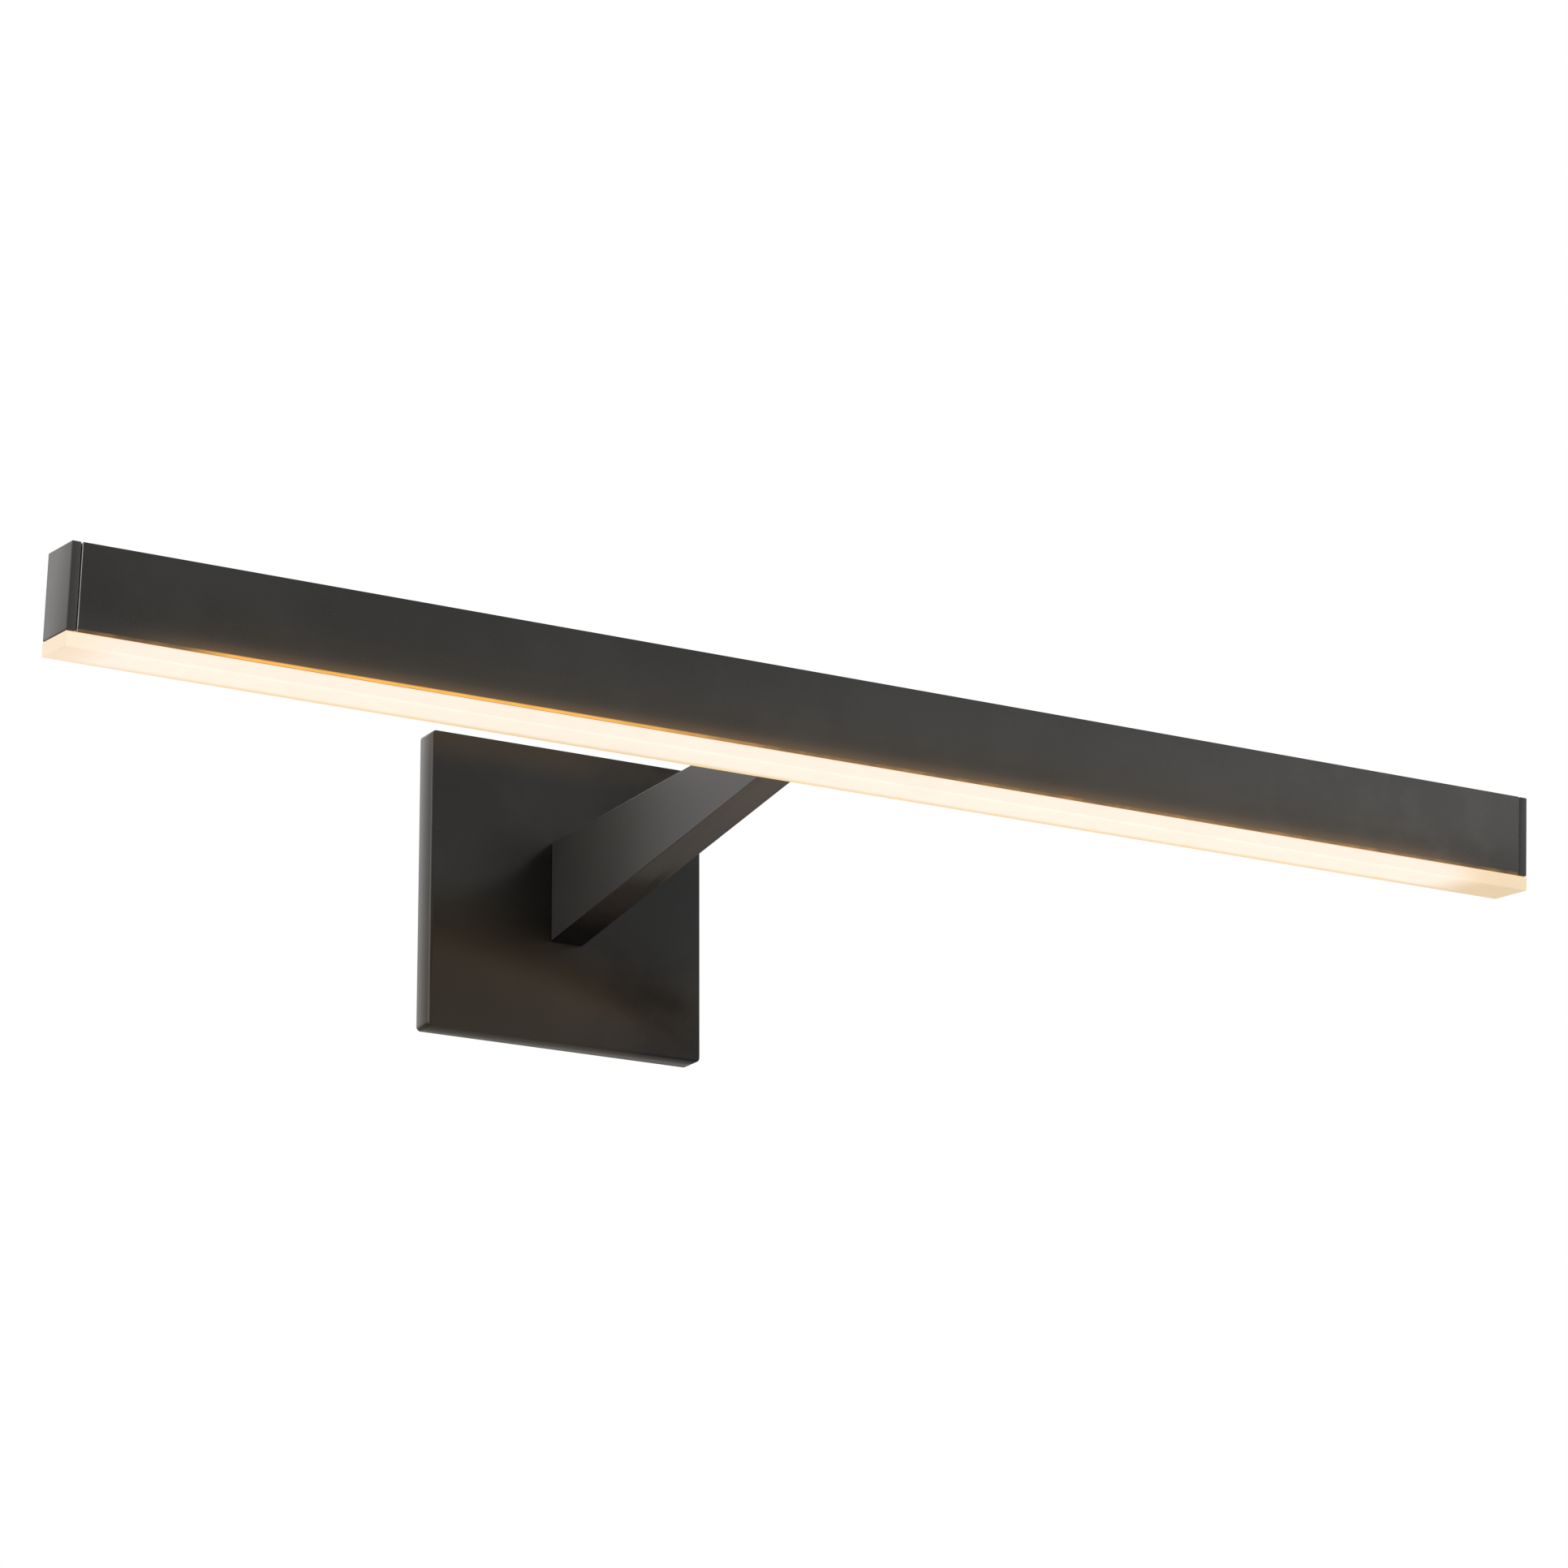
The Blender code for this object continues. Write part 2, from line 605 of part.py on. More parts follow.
def build_housing(materials, pivot):
    outer = [
        (BAR_FRONT, BAR_BOTTOM),
        (BAR_FRONT, BAR_TOP),
        (BAR_BACK, BAR_TOP),
        (BAR_BACK, BAR_BOTTOM),
    ]
    housing = prism_piece("housing", outer, "X", -HOUSING_HALF, HOUSING_HALF, materials["black"], pivot)
    bevel(housing, COAT_EDGE)
    reach = HOUSING_HALF + CUT_PAST
    front = BAR_FRONT + BAR_WALL
    back = BAR_BACK - BAR_WALL
    rooms = bmesh.new()
    add_box(rooms, (-reach, front, WEB_TOP), (reach, back, BAR_TOP - BAR_WALL))
    add_box(rooms, (-reach, front, BAR_BOTTOM - CUT_PAST), (reach, back, WEB_BOTTOM))
    combine(housing, "DIFFERENCE", rooms, "rooms")
    through_back = (back - CUT_PAST, BAR_BACK + CUT_PAST)
    cable_hole = holes("Y", [(0, 0)], HOUSING_CABLE_HOLE, *through_back)
    combine(housing, "DIFFERENCE", cable_hole, "cable_hole")
    spots = [(-BRACKET_SCREW_X, BRACKET_SCREW_Z), (BRACKET_SCREW_X, BRACKET_SCREW_Z)]
    bracket_holes = holes("Y", spots, BRACKET_SCREW_HOLE, *through_back)
    combine(housing, "DIFFERENCE", bracket_holes, "bracket_holes")
    through_web = (WEB_BOTTOM - CUT_PAST, WEB_TOP + CUT_PAST)
    spots = [(x, BAR_MIDDLE) for x in board_screw_places() + driver_screw_places()]
    web_holes = holes("Z", spots, SMALL_SCREW_HOLE, *through_web, 12)
    combine(housing, "DIFFERENCE", web_holes, "web_holes")
    lead_hole = holes("Z", [(0, BAR_MIDDLE)], LEAD_HOLE, *through_web)
    combine(housing, "DIFFERENCE", lead_hole, "lead_hole")


def build_end_caps(materials, pivot):
    for side, sign in (("left", -1), ("right", 1)):
        outer = sign * BAR_LENGTH / 2
        inner = sign * (BAR_LENGTH / 2 - CAP_THICK)
        cap = box_piece(
            f"end_cap_{side}",
            (min(outer, inner), BAR_FRONT, BAR_BOTTOM),
            (max(outer, inner), BAR_BACK, BAR_TOP),
            materials["black"], pivot)
        bevel(cap, CAP_EDGE, segments=3)
        buried = inner + sign * JOIN_OVERLAP
        end = inner - sign * SPIGOT_LENGTH
        spigot = bmesh.new()
        add_box(
            spigot,
            (min(buried, end), BAR_FRONT + BAR_WALL + GAP, WEB_TOP + GAP),
            (max(buried, end), BAR_BACK - BAR_WALL - GAP, BAR_TOP - BAR_WALL - GAP))
        combine(cap, "UNION", spigot, "spigot")


def build_diffuser(materials, pivot):
    front = BAR_FRONT + DIFFUSER_INSET
    back = BAR_BACK - DIFFUSER_INSET
    low = BAR_BOTTOM - DIFFUSER_DROP
    radius = DIFFUSER_ROUND
    outline = [
        (front, BAR_BOTTOM - GAP),
        *arc((front + radius, low + radius), radius, 180, 270, 4),
        *arc((back - radius, low + radius), radius, 270, 360, 4),
        (back, BAR_BOTTOM - GAP),
    ]
    half = BAR_LENGTH / 2
    diffuser = prism_piece("diffuser", outline, "X", -half, half, materials["diffuser"], pivot, smooth=True)
    neck = bmesh.new()
    neck_half = HOUSING_HALF - GAP
    add_box(
        neck,
        (-neck_half, BAR_FRONT + BAR_WALL + GAP, BAR_BOTTOM - GAP - JOIN_OVERLAP),
        (neck_half, BAR_BACK - BAR_WALL - GAP, BAR_BOTTOM + NECK_HEIGHT))
    combine(diffuser, "UNION", neck, "neck")


def board_screw_places():
    ends = (BOARD_INNER + BOARD_SCREW_INSET, BOARD_OUTER - BOARD_SCREW_INSET)
    return [-ends[1], -ends[0], ends[0], ends[1]]


def driver_screw_places():
    reach = DRIVER_HALF + TAB_LENGTH / 2
    return [DRIVER_X - reach, DRIVER_X + reach]


def build_light_source(materials, pivot):
    top = WEB_BOTTOM - GAP
    bottom = top - BOARD_THICK
    middle = (BOARD_INNER + BOARD_OUTER) / 2
    for side, sign in (("left", -1), ("right", 1)):
        ends = sorted((sign * BOARD_INNER, sign * BOARD_OUTER))
        board = box_piece(
            f"led_board_{side}",
            (ends[0], BAR_MIDDLE - BOARD_WIDTH / 2, bottom),
            (ends[1], BAR_MIDDLE + BOARD_WIDTH / 2, top),
            materials["board"], pivot)
        packages = bmesh.new()
        for index in range(LED_COUNT):
            x = sign * middle + (index - (LED_COUNT - 1) / 2) * LED_PITCH
            add_box(
                packages,
                (x - LED_SIZE[0] / 2, BAR_MIDDLE - LED_SIZE[1] / 2, bottom - LED_SIZE[2]),
                (x + LED_SIZE[0] / 2, BAR_MIDDLE + LED_SIZE[1] / 2, bottom + LED_BURY))
        combine(board, "UNION", packages, "packages")
        own = [(x, BAR_MIDDLE) for x in board_screw_places() if x * sign > 0]
        screw_holes = holes("Z", own, SMALL_SCREW_HOLE, bottom - CUT_PAST, top + CUT_PAST, 12)
        combine(board, "DIFFERENCE", screw_holes, "screw_holes")

    board_screw = screw_mesh("board_screw", SMALL_SCREW, 0.0044)
    for index, x in enumerate(board_screw_places(), start=1):
        add_object(f"board_screw_{index}", board_screw, materials["zinc"], pivot,
                   (x, BAR_MIDDLE, bottom - GAP), HEAD_DOWN)

    floor = WEB_TOP + GAP
    body = DRIVER_HALF
    tab = DRIVER_HALF + TAB_LENGTH
    outline = [
        (DRIVER_X - tab, floor),
        (DRIVER_X + tab, floor),
        (DRIVER_X + tab, floor + TAB_THICK),
        (DRIVER_X + body, floor + TAB_THICK),
        (DRIVER_X + body, floor + DRIVER_HEIGHT),
        (DRIVER_X - body, floor + DRIVER_HEIGHT),
        (DRIVER_X - body, floor + TAB_THICK),
        (DRIVER_X - tab, floor + TAB_THICK),
    ]
    half = DRIVER_DEPTH / 2
    driver = prism_piece(
        "led_driver", outline, "Y", BAR_MIDDLE - half, BAR_MIDDLE + half, materials["driver"], pivot)
    spots = [(x, BAR_MIDDLE) for x in driver_screw_places()]
    through_tab = (floor - CUT_PAST, floor + TAB_THICK + CUT_PAST)
    tab_holes = holes("Z", spots, SMALL_SCREW_HOLE, *through_tab, 12)
    combine(driver, "DIFFERENCE", tab_holes, "tab_holes")

    driver_screw = screw_mesh("driver_screw", SMALL_SCREW, 0.0029)
    for side, x in zip(("left", "right"), driver_screw_places()):
        add_object(f"driver_screw_{side}", driver_screw, materials["zinc"], pivot,
                   (x, BAR_MIDDLE, floor + TAB_THICK + GAP), HEAD_UP)

    lead_y = BAR_MIDDLE - 0.0042
    leads = [
        (DRIVER_X + body + LEAD_START, lead_y, 0.0055),
        (-0.0700, lead_y, 0.0050),
        (-0.0300, lead_y, 0.0012),
        (-0.0090, BAR_MIDDLE - 0.0016, 0.0004),
        (-0.0020, BAR_MIDDLE, -0.0016),
        (0.0, BAR_MIDDLE, -0.0046),
        (0.0, BAR_MIDDLE, bottom),
    ]
    tube("led_leads", smooth_route(leads, 3), LEAD_RADIUS, materials["lead_wire"], pivot)


def build_hinge(materials, pivot):
    face = BAR_BACK + GAP
    outside = face + BRACKET_THICK
    bracket = box_piece(
        "tilt_bracket",
        (-BRACKET_WIDTH / 2, face, -BRACKET_HEIGHT / 2),
        (BRACKET_WIDTH / 2, outside, BRACKET_HEIGHT / 2),
        materials["black"], pivot)
    root = outside - BRACKET_THICK / 2
    lug = [(root, -LUG_RADIUS), *arc((0, 0), LUG_RADIUS, -90, 90, 12), (root, LUG_RADIUS)]
    lugs = bmesh.new()
    add_prism(lugs, lug, "X", -LUG_OUTER, -LUG_INNER)
    add_prism(lugs, lug, "X", LUG_INNER, LUG_OUTER)
    combine(bracket, "UNION", lugs, "lugs")
    past_lugs = LUG_OUTER + CUT_PAST
    pivot_hole = holes("X", [(0, 0)], PIVOT_HOLE, -past_lugs, past_lugs)
    combine(bracket, "DIFFERENCE", pivot_hole, "pivot_hole")
    through = (face - CUT_PAST, outside + CUT_PAST)
    combine(bracket, "DIFFERENCE", holes("Y", [(0, 0)], CABLE_PORT, *through), "cable_hole")
    spots = [(-BRACKET_SCREW_X, BRACKET_SCREW_Z), (BRACKET_SCREW_X, BRACKET_SCREW_Z)]
    screw_holes = holes("Y", spots, BRACKET_SCREW_HOLE, *through)
    combine(bracket, "DIFFERENCE", screw_holes, "screw_holes")

    screw = screw_mesh("bracket_screw", BRACKET_SCREW, 0.0070)
    nut_profile = [
        (BRACKET_SCREW_HOLE, 0, 0),
        (NUT_REACH, 0, 6),
        (NUT_REACH, NUT_HEIGHT, 6),
        (BRACKET_SCREW_HOLE, NUT_HEIGHT, 0),
    ]
    nut_bm = bmesh.new()
    add_turned(nut_bm, nut_profile, 12, ring=True)
    nut = mesh_of(nut_bm, "bracket_nut")
    for side, (x, z) in zip(("left", "right"), spots):
        add_object(f"bracket_screw_{side}", screw, materials["black_steel"], pivot,
                   (x, outside + GAP, z), HEAD_TO_WALL)
        add_object(f"bracket_nut_{side}", nut, materials["zinc"], pivot,
                   (x, BAR_BACK - BAR_WALL - GAP, z), HEAD_TO_FRONT)

    neck = HOUSING_CABLE_HOLE - GAP
    shelf = BAR_WALL + GAP
    profile = [
        (CABLE_PORT, 0, 0),
        (neck, 0, 0),
        (neck, shelf, 0),
        (BACK_GROMMET_FLANGE, shelf, 0),
        (BACK_GROMMET_FLANGE, shelf + BACK_GROMMET_THICK, 0),
        (CABLE_PORT, shelf + BACK_GROMMET_THICK, 0),
    ]
    bm = bmesh.new()
    add_turned(bm, profile, 16, ring=True)
    grommet = mesh_of(bm, "back_grommet", smooth=True)
    add_object("back_grommet", grommet, materials["rubber"], pivot, (0, BAR_BACK, 0), HEAD_TO_FRONT)

    route = [
        (0.0, -CABLE_END_GAP, 0.0),
        (0.0, -0.0060, 0.0),
        (0.0, -0.0135, 0.0),
        (-0.0010, -0.0168, 0.0002),
        (-0.0045, -0.0188, 0.0008),
        (-0.0130, -0.0192, 0.0020),
        (-0.0450, -0.0190, 0.0035),
        (DRIVER_X + DRIVER_HALF + LEAD_START, -0.0190, 0.0040),
    ]
    tube("cable_in_head", smooth_route(route, 3), CABLE_RADIUS, materials["cable"], pivot)

    pivot_screw = screw_mesh("pivot_screw", PIVOT_SCREW, 0.0050, segments=24)
    for side, sign in (("left", -1), ("right", 1)):
        add_object(f"pivot_screw_{side}", pivot_screw, materials["black_steel"], pivot,
                   (sign * (ARM_WIDTH / 2 + GAP), 0, 0), (0, sign * math.radians(90), 0))


def main():
    clear_scene()
    materials = {
        "black": make_material("black_powder_coat", (0.030, 0.029, 0.028), 0.38),
        "black_steel": make_material("blackened_steel", (0.035, 0.035, 0.036), 0.35, 0.8),
        "zinc": make_material("zinc_plated_steel", (0.62, 0.62, 0.60), 0.32, 1.0),
        "aluminium": make_material("machined_aluminium", (0.72, 0.72, 0.73), 0.35, 1.0),
        "brass": make_material("earth_screw_brass", (0.42, 0.50, 0.20), 0.35, 0.8),
        "copper": make_material("bare_copper", (0.78, 0.36, 0.18), 0.30, 1.0),
        "rubber": make_material("black_rubber", (0.02, 0.02, 0.02), 0.75),
        "nylon": make_material("natural_nylon", (0.74, 0.72, 0.66), 0.50),
        "connector": make_material("connector_plastic", (0.78, 0.77, 0.74), 0.35),
        "cable": make_material("cable_sheath", (0.03, 0.03, 0.03), 0.50),
        "lead_wire": make_material("lead_insulation", (0.55, 0.06, 0.04), 0.45),
        "board": make_material("white_circuit_board", (0.85, 0.85, 0.82), 0.40),
        "driver": make_material("driver_case", (0.80, 0.80, 0.78), 0.45),
        "diffuser": make_material("frosted_acrylic", (0.95, 0.90, 0.80), 0.45),
    }
    build_mounting_bracket(materials)
    build_backplate(materials)
    build_plate_fittings(materials)
    build_wall_wiring(materials)
    build_arm(materials)

    pivot = bpy.data.objects.new("tilt_axis", None)
    bpy.context.scene.collection.objects.link(pivot)
    pivot.location = PIVOT
    pivot.rotation_euler = (HEAD_TILT, 0, 0)
    build_housing(materials, pivot)
    build_end_caps(materials, pivot)
    build_diffuser(materials, pivot)
    build_light_source(materials, pivot)
    build_hinge(materials, pivot)


main()
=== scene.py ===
"""Looks of the vanity light bar: satin black coat, a glowing frosted diffuser and the hardware inside.

Metres, in the frame's own axes: +X along the bar, +Y into the wall, +Z up.
"""

import json
import math

import bmesh
import bpy
from mathutils import Matrix, Vector


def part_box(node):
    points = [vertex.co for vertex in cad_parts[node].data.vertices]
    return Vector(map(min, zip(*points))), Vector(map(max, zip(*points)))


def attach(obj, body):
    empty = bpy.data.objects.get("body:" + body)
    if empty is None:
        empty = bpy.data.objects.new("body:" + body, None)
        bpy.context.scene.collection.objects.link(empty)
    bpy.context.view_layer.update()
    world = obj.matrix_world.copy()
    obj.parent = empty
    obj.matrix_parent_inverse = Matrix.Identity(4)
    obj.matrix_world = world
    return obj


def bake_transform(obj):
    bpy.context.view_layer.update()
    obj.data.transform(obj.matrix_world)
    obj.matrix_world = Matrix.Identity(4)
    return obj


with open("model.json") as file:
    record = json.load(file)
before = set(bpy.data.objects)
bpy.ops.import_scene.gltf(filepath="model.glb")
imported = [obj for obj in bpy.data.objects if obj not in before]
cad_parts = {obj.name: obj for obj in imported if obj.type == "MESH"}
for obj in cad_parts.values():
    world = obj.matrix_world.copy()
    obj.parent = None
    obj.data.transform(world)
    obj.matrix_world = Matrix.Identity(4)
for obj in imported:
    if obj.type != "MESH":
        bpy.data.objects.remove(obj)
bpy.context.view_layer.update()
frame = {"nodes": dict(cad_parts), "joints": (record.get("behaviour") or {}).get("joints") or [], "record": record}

HINGE = frame["joints"][0]
PIVOT = Vector(HINGE["pos_m"])
HEAD_TILT = math.radians(4.5)          # how far the bar leans at rest, about +X

# The bar in its own upright axes, measured from the tilt axis
BAR_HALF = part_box("diffuser")[1].x
HOUSING_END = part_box("housing")[1].x
BAR_DEPTH = 0.021
BAR_BACK = -0.01135
BAR_FRONT = BAR_BACK - BAR_DEPTH
BAR_BOTTOM = -0.01717
FIT_GAP = 0.0003
DIFFUSER_TOP = BAR_BOTTOM - FIT_GAP
BOARD_SEAT = BAR_BOTTOM + 0.010
BOARD_THICKNESS = 0.0012
BOARD_UNDER = BOARD_SEAT - FIT_GAP - BOARD_THICKNESS

# The line of the arm's underside
ARM_LOW_Z = -0.02108
ARM_LOW_SLOPE = 0.1420

BLACK = (0.0, 0.0, 0.0)
WHITE = (1.0, 1.0, 1.0)


# --- node helpers ----------------------------------------------------------------------------

def with_alpha(colour):
    """A plain colour gains its alpha, and a socket stays as it is."""
    return (*colour, 1.0) if isinstance(colour, tuple) else colour


class NodeTree:
    """Short calls that add nodes to a tree. Each takes sockets or plain values."""

    def __init__(self, tree):
        self.tree = tree

    def put(self, socket, value):
        """Link the value if it is a socket, and otherwise set it as it is."""
        if isinstance(value, bpy.types.NodeSocket):
            self.tree.links.new(value, socket)
        else:
            socket.default_value = value

    def node(self, kind, inputs=(), **settings):
        node = self.tree.nodes.new(kind)
        for key, value in settings.items():
            setattr(node, key, value)
        for key, value in dict(inputs).items():
            self.put(node.inputs[key], value)
        return node

    def vector_math(self, operation, first, second):
        return self.node("ShaderNodeVectorMath", {0: first, 1: second}, operation=operation).outputs[0]

    def split(self, vector):
        return self.node("ShaderNodeSeparateXYZ", {0: vector}).outputs

    def math(self, operation, first, second=0.0):
        return self.node("ShaderNodeMath", {0: first, 1: second}, operation=operation).outputs[0]

    def times(self, first, second):
        return self.math("MULTIPLY", first, second)

    def ramp(self, value, start, end, low=0.0, high=1.0):
        """Smoothly from low at start to high at end."""
        inputs = {"Value": value, "From Min": start, "From Max": end, "To Min": low, "To Max": high}
        return self.node("ShaderNodeMapRange", inputs, interpolation_type="SMOOTHSTEP").outputs[0]

    def noise(self, vector, scale, detail=2.0, rough=0.5):
        inputs = {"Vector": vector, "Scale": scale, "Detail": detail, "Roughness": rough}
        return self.node("ShaderNodeTexNoise", inputs).outputs["Fac"]

    def stretched(self, vector, stretch):
        return self.vector_math("MULTIPLY", vector, stretch)

    def mix(self, factor, first, second):
        """From the first colour to the second. A mix node keeps its colours in sockets 6 and 7."""
        inputs = {0: factor, 6: with_alpha(first), 7: with_alpha(second)}
        return self.node("ShaderNodeMix", inputs, data_type="RGBA").outputs[2]

    def mix_number(self, factor, first, second):
        """The same for plain numbers, which the node keeps in sockets 2 and 3."""
        inputs = {0: factor, 2: first, 3: second}
        return self.node("ShaderNodeMix", inputs, data_type="FLOAT").outputs[0]

    def bump(self, height, distance, strength=1.0, under=None):
        inputs = {"Height": height, "Distance": distance, "Strength": strength}
        if under:
            inputs["Normal"] = under
        return self.node("ShaderNodeBump", inputs).outputs[0]

    def specks(self, vector, scale, size, share):
        """1 on sparse round specks: size is their radius in cells, and share the part of cells with one."""
        cells = self.node("ShaderNodeTexVoronoi", {"Vector": vector, "Scale": scale, "Randomness": 1.0})
        near = self.ramp(cells.outputs["Distance"], size, size * 0.5)
        chosen = self.math("GREATER_THAN", self.split(cells.outputs["Color"])[0], 1.0 - share)
        return self.times(near, chosen)


class Shader(NodeTree):
    """A Principled material and its node tree."""

    def __init__(self, name, colour, roughness, metallic=0.0):
        self.material = bpy.data.materials.new(name)
        self.material.use_nodes = True
        super().__init__(self.material.node_tree)
        self.main = self.tree.nodes["Principled BSDF"]
        self.set("Base Color", with_alpha(colour))
        self.set("Roughness", roughness)
        self.set("Metallic", metallic)
        self.material.diffuse_color = with_alpha(colour)

    def set(self, name, value):
        self.put(self.main.inputs[name], value)

    def place(self):
        """Where a point is on its object, in metres."""
        return self.node("ShaderNodeTexCoord").outputs["Object"]

    def bar_place(self):
        """The same, turned upright about the tilt axis and measured from it."""
        turned = self.node(
            "ShaderNodeVectorRotate",
            {"Vector": self.place(), "Center": PIVOT, "Axis": (1, 0, 0), "Angle": -HEAD_TILT},
            rotation_type="AXIS_ANGLE")
        return self.vector_math("SUBTRACT", turned.outputs[0], PIVOT)


# --- black coat ------------------------------------------------------------------------------

DUST = (0.26, 0.25, 0.23)
COAT_GRAIN_SCALE = 5200.0


def coat_shader(name, place_of, roughness, base, worn):
    """Satin black powder coat: orange peel, a fine grain, soft cloudy marks and a few dust specks."""
    shader = Shader(name, base, roughness)
    place = place_of(shader)
    broad = shader.noise(place, 9.0, 2.0)
    patchy = shader.noise(place, 38.0, 3.0, 0.55)
    cloud = shader.ramp(shader.times(broad, patchy), 0.14, 0.40)
    dust = shader.specks(place, 420.0, 0.055, 0.035)
    colour = shader.mix(cloud, base, worn)
    colour = shader.mix(dust, colour, DUST)
    shader.set("Base Color", colour)
    grain = shader.noise(place, COAT_GRAIN_SCALE, 1.0)
    grain_rough = shader.ramp(grain, 0.3, 0.7, roughness - 0.04, roughness)
    rough = shader.math("ADD", grain_rough, shader.times(cloud, 0.04))
    shader.set("Roughness", shader.math("ADD", rough, shader.times(dust, 0.3)))
    peel = shader.noise(place, 950.0, 2.0, 0.45)
    fine = shader.noise(place, 3600.0, 1.0)
    first = shader.bump(peel, 0.0000022)
    shader.set("Normal", shader.bump(fine, 0.0000008, 0.8, first))
    return shader, place, colour


def arm_coat():
    """The arm's coat. Its underside is smoother than its sides, and carries painted light: painted shade towards
    the wall, a painted reflection of the brown plate in the middle and a painted warm glow from the diffuser near
    the bar.
    """
    shader, place, colour = coat_shader(
        "black_coat", Shader.place, 0.38, (0.0390, 0.0378, 0.0355), (0.0460, 0.0443, 0.0408))
    _, y, z = shader.split(place)
    underside = shader.math("SUBTRACT", ARM_LOW_Z, shader.times(y, ARM_LOW_SLOPE))
    below = shader.ramp(shader.math("SUBTRACT", z, underside), 0.0006, 0.0002)
    # Painted light on the underside: a warm glow from the diffuser near the bar, a reflection of the brown plate
    # in the middle and shade towards the wall.
    painted_bar_glow = (0.0850, 0.0660, 0.0560)
    middle = (0.0300, 0.0240, 0.0200)
    painted_wall_shade = (0.0006, 0.0006, 0.0006)
    tone = shader.mix(shader.ramp(y, -0.180, -0.080), painted_bar_glow, middle)
    tone = shader.mix(shader.ramp(y, -0.060, -0.022), tone, painted_wall_shade)
    shader.set("Base Color", shader.mix(below, colour, tone))
    grain = shader.noise(place, COAT_GRAIN_SCALE, 1.0)
    side_rough = shader.ramp(grain, 0.3, 0.7, 0.37, 0.41)
    shader.set("Roughness", shader.math("SUBTRACT", side_rough, shader.times(below, 0.23)))
    return shader.material


def plate_coat():
    """The plate's coat: smoother than the arm's, with a painted warm glow at the top and low down, and darker to
    the right and beside the arm with painted dark reflections of the bar and the arm, and a painted highlight on
    its left front edge.
    """
    shader, place, colour = coat_shader(
        "black_coat_plate", Shader.place, 0.22, (0.0245, 0.0240, 0.0225), (0.0320, 0.0312, 0.0290))
    shader.set("Specular IOR Level", 0.26)
    x, y, z = shader.split(place)

    # Painted warm glow from the diffuser: browner low down and along the top.
    low = shader.ramp(z, 0.012, -0.032)
    colour = shader.mix(low, colour, (0.0290, 0.0215, 0.0145))
    top = shader.ramp(z, 0.044, 0.058, 0.0, 0.8)
    colour = shader.mix(top, colour, (0.0600, 0.0450, 0.0300))

    # Painted dark reflection of the bar: patchy and darker to the right.
    patchy = shader.noise(place, 30.0, 3.0, 0.6)
    right = shader.times(shader.ramp(x, -0.005, 0.048), shader.ramp(patchy, 0.35, 0.60, 0.55, 1.0))
    colour = shader.mix(right, colour, (0.0012, 0.0011, 0.0010))
    # Painted dark reflection of the arm on the plate beside it.
    arm_height = shader.times(shader.ramp(z, -0.034, -0.012), shader.ramp(z, 0.030, 0.012))
    painted_arm_reflection = shader.times(shader.ramp(x, -0.050, -0.008, 0.0, 0.7), arm_height)
    colour = shader.mix(painted_arm_reflection, colour, (0.0008, 0.0008, 0.0008))

    # Painted highlight along the left front edge.
    painted_rim_highlight = shader.times(shader.ramp(x, -0.05945, -0.05975), shader.ramp(y, -0.0102, -0.0105))
    colour = shader.mix(shader.times(painted_rim_highlight, 0.7), colour, (0.150, 0.145, 0.138))
    shader.set("Base Color", colour)
    return shader.material


def cap_coat():
    """The end caps' coat, a little greyer than the bar's."""
    shader, _, _ = coat_shader(
        "black_coat_cap", Shader.bar_place, 0.36, (0.0290, 0.0285, 0.0275), (0.0355, 0.0350, 0.0335))
    return shader.material


